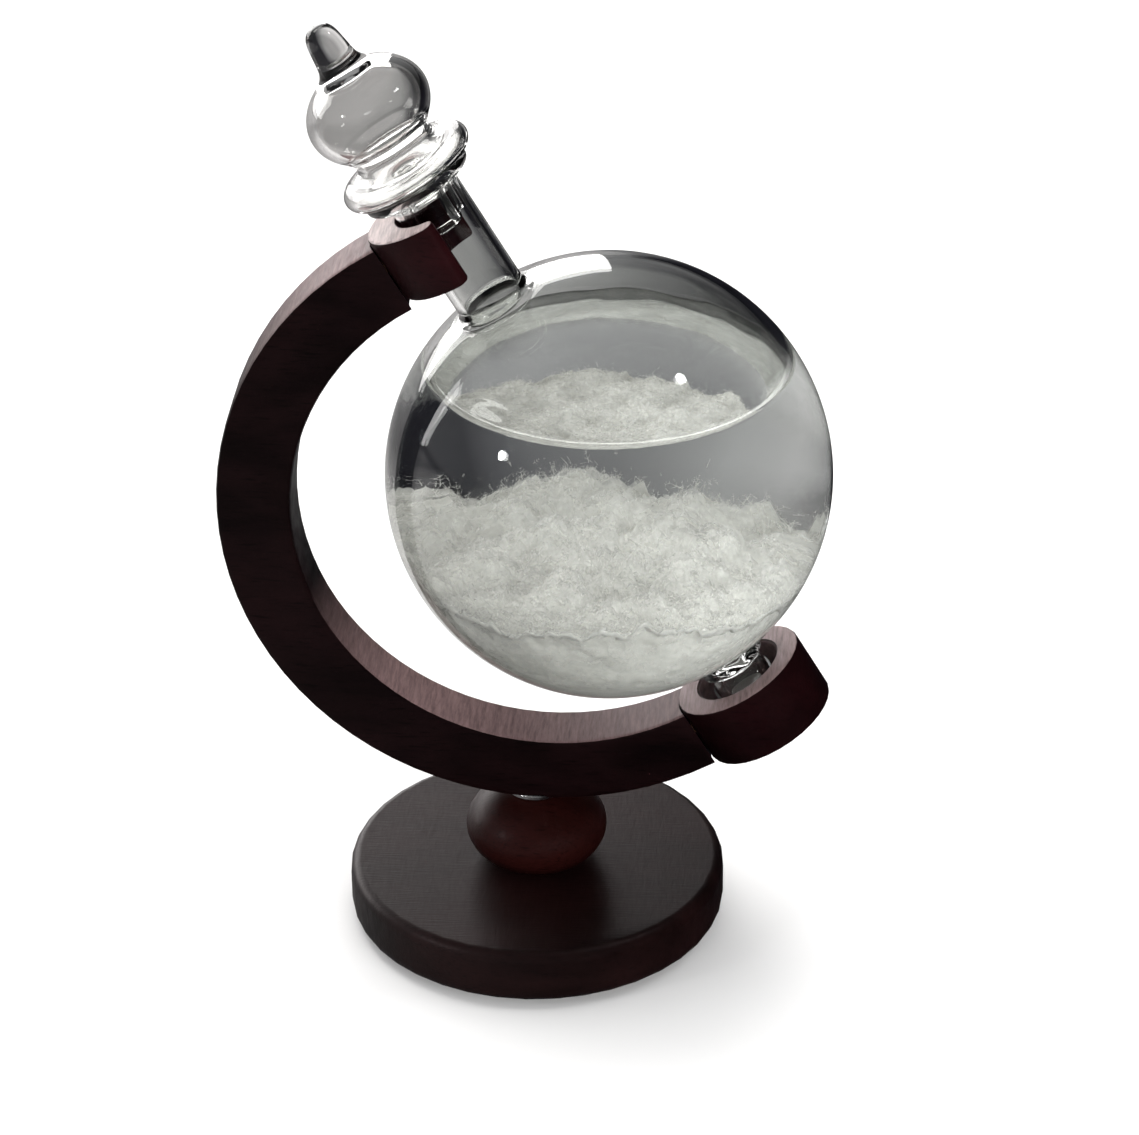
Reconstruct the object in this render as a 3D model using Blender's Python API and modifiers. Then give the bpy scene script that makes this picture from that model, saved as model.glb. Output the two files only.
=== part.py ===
"""A storm glass: a sealed glass globe of liquid and crystals, standing tilted in a wooden crescent stand.

The stand lies in the XZ plane with its round base on the ground at the origin. The globe's own axis
leans from a blind socket at the lower right to an open cradle at the upper left. Pieces on that axis
are turned about their local Z, with heights counted from the middle of the globe.
"""

import math

import bmesh
import bpy
from mathutils import Euler, Vector

MM = 0.001

# Clearances, in millimetres like every size below
GAP = 0.3
FACE_STEPS = 32

# The globe's place and lean
GLOBE_X = 13.9
GLOBE_Z = 92.4
LEAN_DEG = 30.4

# Glass globe, neck and foot
GLOBE_R = 40.0
GLASS_WALL = 1.5
NECK_R = 6.5
NECK_BORE_R = 5.2
LIP_R = 10.0
LIP_TOP = 66.3
FOOT_WAIST_R = 3.9
FOOT_BALL_R = 6.4
FOOT_BALL_AT = -46.9

# Stopper
TIP_TOP = 97.9
BALL_R = 11.3
BALL_HALF_HEIGHT = 8.7
BALL_AT = 80.6
BALL_WALL = 1.6
COLLAR_R = 12.3
COLLAR_AT = 68.5
COLLAR_HALF_HEIGHT = 1.9
PLUG_R = 3.6
PLUG_BORE_R = 2.2
PLUG_END = 55.7
SEAL_R = 4.9
SEAL_LOW = 57.5
SEAL_HIGH = 64.6

# Wooden end blocks on the arm
BLOCK_R = 12.6
BLOCK_H = 12.4
CRADLE_TOP = 61.2
CRADLE_BOW_R = 9.5
CRADLE_BOW_AT = 2.7
SOCKET_TOP = -46.1
SOCKET_BORE_R = 8.1
SOCKET_DEPTH = 9.0
CUSHION_H = 1.2

# Crescent arm
ARM_OUTER_R = 59.3
ARM_OUTER_AT = (3.0, 86.4)
ARM_INNER_R = 46.9
ARM_INNER_AT = (4.0, 86.3)
ARM_THICK = 11.4
ARM_FROM_DEG = 116.0
ARM_TO_DEG = 304.8
ARM_STEPS = 44
ARM_EDGE = 0.8

# Dowels between the arm and its end blocks
DOWEL_R = 2.0
DOWEL_HOLE_R = 2.3
CRADLE_DOWEL_AT = 54.5
SOCKET_DOWEL_AT = -52.5
CRADLE_DOWEL_ENDS = (-21.5, -9.4)
SOCKET_DOWEL_ENDS = (-21.0, -10.0)

# Base, stem and the screw that holds them to the arm
PAD_R = 31.5
PAD_H = 1.2
BASE_R = 35.1
BASE_TOP = 12.0
BASE_TOP_FLAT_R = 33.1
STEM_R = 13.2
STEM_HALF_HEIGHT = 8.5
STEM_AT = 18.5
STEM_TOP = 26.15
WASHER_R = 5.6
WASHER_H = 1.0
SCREW_R = 2.2
SCREW_HOLE_R = 2.6
SCREW_HEAD_R = 4.8
SCREW_HEAD_LOW = 2.2
SCREW_HEAD_TOP = 5.6
SCREW_TIP = 36.2
COUNTERBORE_R = 5.3
COUNTERBORE_TOP = 5.9

# Liquid and crystals, with heights counted from the middle of the globe
FILL_R = GLOBE_R - GLASS_WALL - 2 * GAP
LEVEL = 21.5
BED_MIDDLE = -16.2
BED_RIGHT_SLOPE = -0.1
BED_BACK_SLOPE = -0.075
BED_LEFT_FROM = -14.0
BED_LEFT_RISE = 0.012
BED_CLIMB_FROM = 22.0
BED_CLIMB = 5.0
BED_CELLS = 16
CLUSTERS = {
    "crystal_cluster_left": (-17.0, -9.0, 6.0),
    "crystal_cluster_middle": (2.0, -5.0, 6.6),
    "crystal_cluster_right": (20.0, -7.0, 5.6),
}

GLOBE_CENTRE = Vector((GLOBE_X, 0.0, GLOBE_Z)) * MM
LEAN = Euler((0.0, -math.radians(LEAN_DEG), 0.0))


def clear_scene():
    """Empties the scene of everything that Blender starts with."""
    for obj in list(bpy.data.objects):
        bpy.data.objects.remove(obj, do_unlink=True)


def add_collection(name):
    """A collection linked to the scene."""
    made = bpy.data.collections.new(name)
    bpy.context.scene.collection.children.link(made)
    return made


def add_material(name, colour, roughness, metallic=0.0, alpha=1.0):
    """A Principled material of one colour."""
    made = bpy.data.materials.new(name)
    made.use_nodes = True
    shader = made.node_tree.nodes["Principled BSDF"]
    shader.inputs["Base Color"].default_value = (*colour, 1.0)
    shader.inputs["Roughness"].default_value = roughness
    shader.inputs["Metallic"].default_value = metallic
    shader.inputs["Alpha"].default_value = alpha
    made.diffuse_color = (*colour, alpha)
    return made


def add_object(name, mesh, collection, material=None):
    """An object for a mesh, in the right collection and material."""
    obj = bpy.data.objects.new(name, mesh)
    collection.objects.link(obj)
    if material:
        mesh.materials.append(material)
    return obj


def add_cutter(name, mesh):
    """A helper that only cuts other pieces."""
    obj = add_object(name, mesh, cutters)
    obj.hide_render = True
    obj.display_type = "WIRE"
    return obj


def arc(centre_r, centre_z, radius_r, radius_z, from_deg, to_deg, count):
    """Points of a round or squashed arc, from one angle to another."""
    points = []
    for index in range(count + 1):
        angle = math.radians(from_deg + (to_deg - from_deg) * index / count)
        points.append((centre_r + radius_r * math.cos(angle), centre_z + radius_z * math.sin(angle)))
    return points


def turned_mesh(name, profile, closed):
    """A mesh holding only the outline of a turned piece."""
    mesh = bpy.data.meshes.new(name)
    points = [(max(r, 0.0) * MM, 0.0, z * MM) for r, z in profile]
    edges = [(index, index + 1) for index in range(len(points) - 1)]
    if closed:
        edges.append((len(points) - 1, 0))
    mesh.from_pydata(points, edges, [])
    return mesh


def turned(name, profile, material, steps=FACE_STEPS, closed=False):
    """A piece turned about its local Z. The profile runs down its outer side."""
    obj = add_object(name, turned_mesh(name, profile, closed), pieces, material)
    screw = obj.modifiers.new("turn", "SCREW")
    screw.axis = "Z"
    screw.angle = math.tau
    screw.steps = steps
    screw.render_steps = steps
    screw.use_merge_vertices = True
    screw.merge_threshold = 0.00001
    screw.use_smooth_shade = True
    return obj


def on_globe_axis(obj, along=0.0, across=0.0):
    """Leans an object with the globe, at a height along its axis and a distance across it."""
    obj.rotation_euler = LEAN
    obj.location = GLOBE_CENTRE + LEAN.to_matrix() @ Vector((across, 0.0, along)) * MM
    return obj


def cut(obj, cutter):
    """Cuts one object with another."""
    boolean = obj.modifiers.new("cut " + cutter.name, "BOOLEAN")
    boolean.operation = "DIFFERENCE"
    boolean.solver = "EXACT"
    boolean.object = cutter


def keep_inside(obj, cutter):
    """Keeps only what two objects share."""
    boolean = obj.modifiers.new("keep " + cutter.name, "BOOLEAN")
    boolean.operation = "INTERSECT"
    boolean.solver = "EXACT"
    boolean.object = cutter


def cylinder_mesh(name, radius, low, high, steps=32):
    """A closed cylinder about local Z."""
    shape = bmesh.new()
    bmesh.ops.create_cone(
        shape,
        cap_ends=True,
        segments=steps,
        radius1=radius * MM,
        radius2=radius * MM,
        depth=(high - low) * MM,
    )
    bmesh.ops.translate(shape, verts=shape.verts, vec=Vector((0.0, 0.0, (low + high) / 2)) * MM)
    mesh = bpy.data.meshes.new(name)
    shape.to_mesh(mesh)
    shape.free()
    return mesh


def box_mesh(name, low, high):
    """A closed box between two corners."""
    shape = bmesh.new()
    bmesh.ops.create_cube(shape, size=1.0)
    for vert in shape.verts:
        for axis in range(3):
            share = vert.co[axis] + 0.5
            vert.co[axis] = (low[axis] + (high[axis] - low[axis]) * share) * MM
    mesh = bpy.data.meshes.new(name)
    shape.to_mesh(mesh)
    shape.free()
    return mesh


def flat_mesh(name, outline, thickness):
    """A flat closed mesh over an outline in local XY, centred on that plane."""
    curve = bpy.data.curves.new(name, "CURVE")
    curve.dimensions = "2D"
    curve.fill_mode = "BOTH"
    curve.extrude = thickness / 2 * MM
    spline = curve.splines.new("POLY")
    spline.points.add(len(outline) - 1)
    for point, (x, y) in zip(spline.points, outline):
        point.co = (x * MM, y * MM, 0.0, 1.0)
    spline.use_cyclic_u = True
    guide = bpy.data.objects.new(name + "_guide", curve)
    cutters.objects.link(guide)
    guide.hide_render = True
    bpy.context.view_layer.update()
    evaluated = guide.evaluated_get(bpy.context.evaluated_depsgraph_get())
    mesh = bpy.data.meshes.new_from_object(evaluated)
    bpy.data.objects.remove(guide, do_unlink=True)
    shape = bmesh.new()
    shape.from_mesh(mesh)
    bmesh.ops.remove_doubles(shape, verts=shape.verts, dist=0.00001)
    bmesh.ops.dissolve_limit(shape, angle_limit=0.001, verts=shape.verts, edges=shape.edges)
    bmesh.ops.recalc_face_normals(shape, faces=shape.faces)
    shape.to_mesh(mesh)
    shape.free()
    return mesh


def soften_edges(obj, width, angle_deg, segments=2):
    """Rounds the sharp edges of a piece."""
    bevel = obj.modifiers.new("soften", "BEVEL")
    bevel.width = width * MM
    bevel.segments = segments
    bevel.limit_method = "ANGLE"
    bevel.angle_limit = math.radians(angle_deg)


def lying_across(obj, along, across_low):
    """Lays a piece that was made along local Z across the globe's axis, pointing away from the arm."""
    turn = LEAN.to_matrix() @ Euler((0.0, math.pi / 2, 0.0)).to_matrix()
    obj.rotation_euler = turn.to_euler()
    obj.location = GLOBE_CENTRE + LEAN.to_matrix() @ Vector((across_low, 0.0, along)) * MM
    return obj


def build_base():
    """The felt pad, the turned base, the stem, the washer and the long screw."""
    turned("base_pad", [(0.0, PAD_H), (PAD_R, PAD_H), (PAD_R, 0.0), (0.0, 0.0)], felt)

    low = PAD_H + GAP
    edge_r = BASE_R - BASE_TOP_FLAT_R
    base_profile = [(SCREW_HOLE_R, BASE_TOP), (20.0, BASE_TOP)]
    base_profile += arc(BASE_TOP_FLAT_R, BASE_TOP - 2.4, edge_r, 2.4, 90.0, 0.0, 5)
    base_profile += arc(BASE_TOP_FLAT_R, low + 2.6, edge_r, 2.6, 0.0, -90.0, 4)
    base_profile += [(COUNTERBORE_R, low), (COUNTERBORE_R, COUNTERBORE_TOP), (SCREW_HOLE_R, COUNTERBORE_TOP)]
    turned("base_disc", base_profile, wood_base, 40, closed=True)

    stem_low = BASE_TOP + GAP
    low_deg = -math.degrees(math.asin((STEM_AT - stem_low) / STEM_HALF_HEIGHT))
    high_deg = math.degrees(math.asin((STEM_TOP - STEM_AT) / STEM_HALF_HEIGHT))
    stem_profile = [(SCREW_HOLE_R, STEM_TOP)]
    stem_profile += arc(0.0, STEM_AT, STEM_R, STEM_HALF_HEIGHT, high_deg, low_deg, 9)
    stem_profile += [(SCREW_HOLE_R, stem_low)]
    turned("stem_ball", stem_profile, wood_stem, closed=True)

    washer_low = STEM_TOP + GAP
    washer_high = washer_low + WASHER_H
    turned(
        "stem_washer",
        [
            (SCREW_HOLE_R, washer_high),
            (WASHER_R - 0.2, washer_high),
            (WASHER_R, washer_high - 0.25),
            (WASHER_R, washer_low + 0.25),
            (WASHER_R - 0.2, washer_low),
            (SCREW_HOLE_R, washer_low),
        ],
        steel,
        closed=True,
    )
    build_screw()
    return washer_high + GAP


def build_screw():
    """The wood screw, its tip up in the arm and its slotted head in the base's counterbore."""
    profile = [(0.0, SCREW_TIP), (0.9, SCREW_TIP - 1.6)]
    height = SCREW_TIP - 2.2
    while height > STEM_TOP + 3.0:
        profile += [(SCREW_R, height), (SCREW_R - 0.6, height - 0.75)]
        height -= 1.5
    profile += [(SCREW_R, height), (SCREW_R, SCREW_HEAD_TOP), (SCREW_HEAD_R, SCREW_HEAD_TOP)]
    profile += [(SCREW_HEAD_R, SCREW_HEAD_LOW + 0.9), (SCREW_HEAD_R - 0.8, SCREW_HEAD_LOW)]
    profile += [(0.0, SCREW_HEAD_LOW)]
    screw = turned("base_screw", profile, steel, 20)
    slot = box_mesh("screw_slot_cutter", (-6.0, -0.6, 0.0), (6.0, 0.6, SCREW_HEAD_LOW + 1.3))
    cut(screw, add_cutter("screw_slot_cutter", slot))


def build_arm(seat_height):
    """The crescent, coped to its end blocks, with a seat for the washer and its screw and dowel holes."""
    outer = arc(*ARM_OUTER_AT, ARM_OUTER_R, ARM_OUTER_R, ARM_FROM_DEG, ARM_TO_DEG, ARM_STEPS)
    inner = arc(*ARM_INNER_AT, ARM_INNER_R, ARM_INNER_R, ARM_TO_DEG, ARM_FROM_DEG, ARM_STEPS)
    mesh = flat_mesh("arc_arm", outer + inner, ARM_THICK)
    arm = add_object("arc_arm", mesh, pieces, wood_arm)
    arm.rotation_euler = (math.pi / 2, 0.0, 0.0)
    soften_edges(arm, ARM_EDGE, 40.0)

    for place, middle in (("cradle", CRADLE_TOP - BLOCK_H / 2), ("socket", SOCKET_TOP - BLOCK_H / 2)):
        name = place + "_cope_cutter"
        cope = cylinder_mesh(name, BLOCK_R + GAP, -14.0, 14.0, 96)
        cut(arm, on_globe_axis(add_cutter(name, cope), middle))
    for place, along, ends in (
        ("cradle", CRADLE_DOWEL_AT, CRADLE_DOWEL_ENDS),
        ("socket", SOCKET_DOWEL_AT, SOCKET_DOWEL_ENDS),
    ):
        name = place + "_dowel_cutter"
        hole = cylinder_mesh(name, DOWEL_HOLE_R, -GAP, ends[1] - ends[0] + GAP)
        cut(arm, lying_across(add_cutter(name, hole), along, ends[0]))
    cut(arm, add_cutter("washer_seat_cutter", cylinder_mesh("seat", WASHER_R + 0.4, 20.0, seat_height, 48)))
    cut(arm, add_cutter("screw_hole_cutter", cylinder_mesh("hole", SCREW_HOLE_R, 18.0, SCREW_TIP + GAP)))
    return arm


def build_cradle():
    """The upper block: half a ring, open away from the arm, that the neck leans in."""
    outer = arc(0.0, 0.0, BLOCK_R, BLOCK_R, 89.0, 271.0, 26)
    bow_deg = math.degrees(math.acos((0.9 - CRADLE_BOW_AT) / CRADLE_BOW_R))
    inner = arc(CRADLE_BOW_AT, 0.0, CRADLE_BOW_R, CRADLE_BOW_R, 360.0 - bow_deg, bow_deg, 16)
    front_tip = [(1.15, -12.15), (1.7, -11.3), (1.7, -10.3), (1.3, -9.6)]
    back_tip = [(x, -y) for x, y in reversed(front_tip)]
    outline = outer + front_tip + inner + back_tip
    block = add_object("fork_cradle", flat_mesh("fork_cradle", outline, BLOCK_H), pieces, wood_block)
    soften_edges(block, 0.6, 60.0)
    on_globe_axis(block, CRADLE_TOP - BLOCK_H / 2)
    cut(block, bpy.data.objects["cradle_dowel_cutter"])


def build_socket():
    """The lower block with its blind bore, and the cushion on the bore's floor."""
    top = BLOCK_H / 2
    floor = top - SOCKET_DEPTH
    profile = [(0.0, floor), (SOCKET_BORE_R, floor), (SOCKET_BORE_R, top - 0.4), (SOCKET_BORE_R + 0.4, top)]
    profile += arc(BLOCK_R - 0.6, top - 0.6, 0.6, 0.6, 90.0, 0.0, 2)
    profile += arc(BLOCK_R - 0.6, 0.6 - top, 0.6, 0.6, 0.0, -90.0, 2)
    profile += [(0.0, -top)]
    block = turned("socket_cup", profile, wood_block)
    on_globe_axis(block, SOCKET_TOP - BLOCK_H / 2)
    cut(block, bpy.data.objects["socket_dowel_cutter"])

    cushion = turned(
        "socket_cushion",
        [(0.0, CUSHION_H), (7.4, CUSHION_H), (7.7, CUSHION_H - 0.3), (7.7, 0.0), (0.0, 0.0)],
        felt,
        24,
    )
    on_globe_axis(cushion, SOCKET_TOP - SOCKET_DEPTH + GAP)


def build_dowels():
    """One dowel at each end of the arm."""
    for name, along, ends in (
        ("fork_dowel", CRADLE_DOWEL_AT, CRADLE_DOWEL_ENDS),
        ("socket_dowel", SOCKET_DOWEL_AT, SOCKET_DOWEL_ENDS),
    ):
        length = ends[1] - ends[0]
        profile = [(0.0, length), (DOWEL_R - 0.4, length), (DOWEL_R, length - 0.6)]
        profile += [(DOWEL_R, 0.6), (DOWEL_R - 0.4, 0.0), (0.0, 0.0)]
        lying_across(turned(name, profile, wood_dowel, 16), along, ends[0])


def build_glass():
    """The blown globe, its neck and lip, and the ball foot, all one piece of glass open at the lip."""
    inner_r = GLOBE_R - GLASS_WALL
    neck_deg = math.degrees(math.acos(NECK_BORE_R / inner_r))
    profile = arc(0.0, 0.0, inner_r, inner_r, -90.0, neck_deg, 17)
    profile += [(NECK_BORE_R, 45.0), (NECK_BORE_R, LIP_TOP - 0.6), (NECK_BORE_R + 0.4, LIP_TOP)]
    profile += [(LIP_R - 0.8, LIP_TOP), (LIP_R - 0.1, LIP_TOP - 0.5), (LIP_R, LIP_TOP - 1.0)]
    profile += [(LIP_R - 0.2, LIP_TOP - 1.6), (LIP_R - 1.2, LIP_TOP - 2.1), (NECK_R + 0.8, LIP_TOP - 2.5)]
    profile += [(NECK_R, LIP_TOP - 3.4), (NECK_R, 42.0), (NECK_R + 0.1, 41.0)]
    profile += [(NECK_R + 0.4, 40.2), (NECK_R + 1.1, 39.55)]
    shoulder_deg = math.degrees(math.acos(8.9 / GLOBE_R))
    heel_deg = -math.degrees(math.acos(5.5 / GLOBE_R))
    profile += arc(0.0, 0.0, GLOBE_R, GLOBE_R, shoulder_deg, heel_deg, 19)
    profile += [(4.5, -40.2), (FOOT_WAIST_R, -41.1), (FOOT_WAIST_R + 0.1, -41.9)]
    profile += arc(0.0, FOOT_BALL_AT, FOOT_BALL_R, FOOT_BALL_R, 46.0, -90.0, 8)
    on_globe_axis(turned("glass_globe", profile, glass, 30))


def build_stopper():
    """The hollow blown stopper, open at the end of its plug, and the soft sleeve round the plug."""
    origin = LIP_TOP
    outer = [(0.0, TIP_TOP), (1.3, TIP_TOP - 0.3), (2.3, TIP_TOP - 1.0), (2.9, TIP_TOP - 2.3)]
    outer += [(3.25, TIP_TOP - 4.4), (3.6, TIP_TOP - 6.9), (3.95, 89.9), (4.5, 89.3)]
    top_deg = math.degrees(math.acos(5.3 / BALL_R))
    waist_deg = -math.degrees(math.acos(8.4 / BALL_R))
    outer += arc(0.0, BALL_AT, BALL_R, BALL_HALF_HEIGHT, top_deg, waist_deg, 12)
    outer += [(7.7, 73.9), (7.4, 73.1), (7.5, 72.3), (8.1, 71.4), (9.2, 70.75)]
    collar_minor = 2.0
    collar_r = COLLAR_R - collar_minor
    outer += arc(collar_r, COLLAR_AT, collar_minor, COLLAR_HALF_HEIGHT, 80.0, -90.0, 8)
    outer += [(SEAL_R, LIP_TOP + GAP), (SEAL_R, 65.3), (PLUG_R, 64.95), (PLUG_R, PLUG_END + 0.5)]
    outer += [(PLUG_R - 0.5, PLUG_END)]

    cavity_r = BALL_R - BALL_WALL
    cavity_half = BALL_HALF_HEIGHT - BALL_WALL
    cavity_deg = -math.degrees(math.acos(6.6 / cavity_r))
    inner = [(PLUG_BORE_R + 0.2, PLUG_END), (PLUG_BORE_R, PLUG_END + 0.5), (PLUG_BORE_R, 66.0)]
    inner += [(3.2, 69.5), (5.0, 71.6), (5.8, 73.4)]
    inner += arc(0.0, BALL_AT, cavity_r, cavity_half, cavity_deg, 90.0, 12)
    profile = [(r, z - origin) for r, z in outer + inner]
    on_globe_axis(turned("stopper", profile, glass, 22), origin)

    bore = PLUG_R + GAP
    sleeve = [
        (bore, SEAL_HIGH),
        (SEAL_R - 0.2, SEAL_HIGH),
        (SEAL_R, SEAL_HIGH - 0.3),
        (SEAL_R, SEAL_LOW + 0.3),
        (SEAL_R - 0.2, SEAL_LOW),
        (bore, SEAL_LOW),
    ]
    sleeve = [(r, z - origin) for r, z in sleeve]
    on_globe_axis(turned("stopper_seal", sleeve, silicone, 24, closed=True), origin)


def bed_height(x, y):
    """The height of the crystal bed: a drift, low at the back right, that climbs the glass in front."""
    drift = BED_MIDDLE + BED_BACK_SLOPE * y + BED_RIGHT_SLOPE * max(x, 0.0)
    drift += BED_LEFT_RISE * max(BED_LEFT_FROM - x, 0.0) ** 2
    climb = max(0.0, math.hypot(x, y) - BED_CLIMB_FROM) / (FILL_R - BED_CLIMB_FROM)
    drift += BED_CLIMB * climb**2 * max(0.0, 0.75 * x - 0.65 * y) / FILL_R
    lumps = 0.8 * math.sin(0.33 * x + 0.9) * math.cos(0.29 * y - 0.4)
    ripples = 0.5 * math.sin(0.71 * x - 0.5 * y) + 0.4 * math.sin(0.9 * y + 0.4 * x)
    return drift + lumps + ripples


def bed_block(name, raised):
    """A block that fills everything below the bed's surface, raised by a clearance."""
    shape = bmesh.new()
    bmesh.ops.create_grid(shape, x_segments=BED_CELLS, y_segments=BED_CELLS, size=42.0 * MM)
    top = list(shape.verts)
    grown = bmesh.ops.extrude_face_region(shape, geom=shape.faces[:])
    floor = [item for item in grown["geom"] if isinstance(item, bmesh.types.BMVert)]
    for vert in floor:
        vert.co.z = -50.0 * MM
    for vert in top:
        vert.co.z = (bed_height(vert.co.x / MM, vert.co.y / MM) + raised) * MM
    bmesh.ops.triangulate(shape, faces=shape.faces[:])
    bmesh.ops.recalc_face_normals(shape, faces=shape.faces)
    mesh = bpy.data.meshes.new(name)
    shape.to_mesh(mesh)
    shape.free()
    block = add_cutter(name, mesh)
    block.location = GLOBE_CENTRE
    return block


def spiky_mesh(name, radius, seed):
    """A closed tuft: a ball whose points stand out unevenly."""
    shape = bmesh.new()
    bmesh.ops.create_icosphere(shape, subdivisions=3, radius=1.0)
    for index, vert in enumerate(shape.verts):
        direction = vert.co.normalized()
        wave = math.sin(9.0 * direction.x + seed) * math.sin(8.0 * direction.y - seed)
        wave *= math.sin(7.0 * direction.z)
        spike = 0.16 if index % 3 == 0 else -0.07
        vert.co = direction * radius * MM * (0.8 + 0.12 * wave + spike)
    mesh = bpy.data.meshes.new(name)
    shape.to_mesh(mesh)
    shape.free()
    return mesh


def pocket_mesh(name, radius):
    """A smooth ball that clears a tuft."""
    shape = bmesh.new()
    bmesh.ops.create_icosphere(shape, subdivisions=3, radius=(radius * 1.1 + 2.0 * GAP) * MM)
    mesh = bpy.data.meshes.new(name)
    shape.to_mesh(mesh)
    shape.free()
    return mesh


def build_contents():
    """The crystal bed in the bottom of the globe, three tufts on it, and the liquid above."""
    ball = arc(0.0, 0.0, FILL_R, FILL_R, 90.0, -90.0, 16)
    bed = turned("crystal_bed", ball, crystal, 32)
    bed.location = GLOBE_CENTRE
    keep_inside(bed, bed_block("bed_cutter", 0.0))

    raised = bed_block("bed_clearance_cutter", GAP)
    level_deg = math.degrees(math.asin(LEVEL / FILL_R))
    fill = [(0.0, LEVEL)] + arc(0.0, 0.0, FILL_R, FILL_R, level_deg, -90.0, 12)
    body = turned("liquid", fill, liquid, 32)
    body.location = GLOBE_CENTRE
    cut(body, raised)
    for seed, (name, (x, y, radius)) in enumerate(CLUSTERS.items()):
        middle = GLOBE_CENTRE + Vector((x, y, bed_height(x, y) + 0.35 * radius)) * MM
        tuft = add_object(name, spiky_mesh(name, radius, seed + 0.7), pieces, crystal)
        tuft.location = middle
        cut(tuft, raised)
        pocket_name = name + "_pocket_cutter"
        pocket = add_cutter(pocket_name, pocket_mesh(pocket_name, radius))
        pocket.location = middle
        cut(body, pocket)


clear_scene()
pieces = add_collection("storm_glass")
cutters = add_collection("cutters")

wood_base = add_material("wood_base", (0.035, 0.016, 0.015), 0.42)
wood_stem = add_material("wood_stem", (0.05, 0.018, 0.015), 0.4)
wood_arm = add_material("wood_arm", (0.035, 0.015, 0.014), 0.45)
wood_block = add_material("wood_block", (0.045, 0.016, 0.016), 0.45)
wood_dowel = add_material("wood_dowel", (0.45, 0.32, 0.18), 0.6)
felt = add_material("felt", (0.02, 0.02, 0.022), 0.95)
steel = add_material("steel", (0.62, 0.62, 0.63), 0.3, 1.0)
glass = add_material("glass", (0.93, 0.96, 0.96), 0.03, 0.0, 0.3)
silicone = add_material("silicone", (0.85, 0.87, 0.88), 0.4, 0.0, 0.5)
liquid = add_material("liquid", (0.8, 0.86, 0.88), 0.05, 0.0, 0.25)
crystal = add_material("crystal", (0.86, 0.88, 0.87), 0.7)

build_arm(build_base())
build_cradle()
build_socket()
build_dowels()
build_glass()
build_stopper()
build_contents()
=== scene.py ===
"""The looks of a storm glass: a stoppered glass globe of liquid and crystals in a mahogany stand.

The wood, felt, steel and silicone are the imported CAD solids, with weld and shading modifiers and
new materials. The globe, stopper, liquid and crystals are fine meshes made here, which stand for
their CAD solids.
"""

import math

import bmesh
import bpy
import numpy as np
from mathutils import Euler, Matrix, Vector, noise


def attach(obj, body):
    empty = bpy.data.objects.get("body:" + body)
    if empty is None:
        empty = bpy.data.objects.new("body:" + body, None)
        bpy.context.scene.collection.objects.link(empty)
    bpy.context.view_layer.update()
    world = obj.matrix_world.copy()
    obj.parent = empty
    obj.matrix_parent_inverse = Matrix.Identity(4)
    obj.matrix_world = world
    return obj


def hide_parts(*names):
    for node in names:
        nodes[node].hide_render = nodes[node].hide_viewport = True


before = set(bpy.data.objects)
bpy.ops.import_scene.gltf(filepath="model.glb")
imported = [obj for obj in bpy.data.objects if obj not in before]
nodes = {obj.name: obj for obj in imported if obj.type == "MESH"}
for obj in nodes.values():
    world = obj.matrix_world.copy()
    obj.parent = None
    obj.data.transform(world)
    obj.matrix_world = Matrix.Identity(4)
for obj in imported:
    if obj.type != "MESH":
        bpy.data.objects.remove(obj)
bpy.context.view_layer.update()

MM = 0.001

# The globe's place and lean, from the CAD, and its sizes in millimetres from its middle
GLOBE_CENTRE = Vector((13.9, 0.0, 92.4)) * MM
LEAN_ANGLE = math.radians(30.4)
LEAN = Euler((0.0, -LEAN_ANGLE, 0.0)).to_matrix()
AXIS = LEAN @ Vector((0.0, 0.0, 1.0))
GLOBE_R = 40.0
INNER_R = 38.5
NECK_R = 6.5
NECK_BORE_R = 5.2
LEVEL = 21.5
MENISCUS = 0.8
RING_HEIGHT = -43.1
BALL_HEIGHT = -48.7
COLLAR_HEIGHT = 68.5
STOPPER_HEIGHT = 80.6

# The crystal bed's height, slopes and reach, and the fronds on it, in millimetres from the globe's
# middle
BED_HEIGHT = -15.6
BED_RADIUS = 37.9
BED_REACH = 37.0
BACK_FALL = 0.075
RIGHT_FALL = 0.1
LEFT_RISE = 0.012
LEFT_EDGE = -14.0
CLIMB = 5.0
CLIMB_FROM = 22.0
CLIMB_WIDTH = 15.9
FROND_LIMIT = 37.4
FRONDS_IN_THIRD = 8400

# The colours of the stained wood, each dark and light, and of the paler faces: partly wood that took less
# stain, partly a painted sheen on the faces that look up, and painted light in the cup's bore
ARM_STAIN = (0.0015, 0.0005, 0.0006), (0.0055, 0.0017, 0.002)
BASE_STAIN = (0.003, 0.001, 0.001), (0.008, 0.0026, 0.0026)
STEM_STAIN = (0.006, 0.0012, 0.001), (0.015, 0.003, 0.0026)
CRADLE_STAIN = (0.004, 0.0007, 0.001), (0.01, 0.0016, 0.0022)
SOCKET_STAIN = (0.002, 0.0004, 0.0006), (0.006, 0.001, 0.0014)
DOWEL_STAIN = (0.07, 0.035, 0.022), (0.12, 0.065, 0.04)
WORN_AND_SHEEN_ARM = (0.2, 0.13, 0.13)
SAWN_AND_SHEEN_CRADLE = (0.62, 0.5, 0.49)
SAWN_AND_LIT_SOCKET = (0.4, 0.28, 0.28)
BORE_PAINTED_LIGHT = 0.4

# How the grain of each wooden piece is turned
ARM_GRAIN = (0.0, 0.5, 0.0)
BASE_GRAIN = (0.0, 0.0, 0.3)
STEM_GRAIN = (0.0, 1.57, 0.0)
BLOCK_GRAIN = (0.0, LEAN_ANGLE, 0.0)
DOWEL_GRAIN = (0.0, 0.53, 0.0)

# The middle of the arm's curve
ARM_MIDDLE = Vector((3.5, 0.0, 86.3)) * MM

# The floor's colour
FLOOR = (0.86, 0.86, 0.86)

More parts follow.
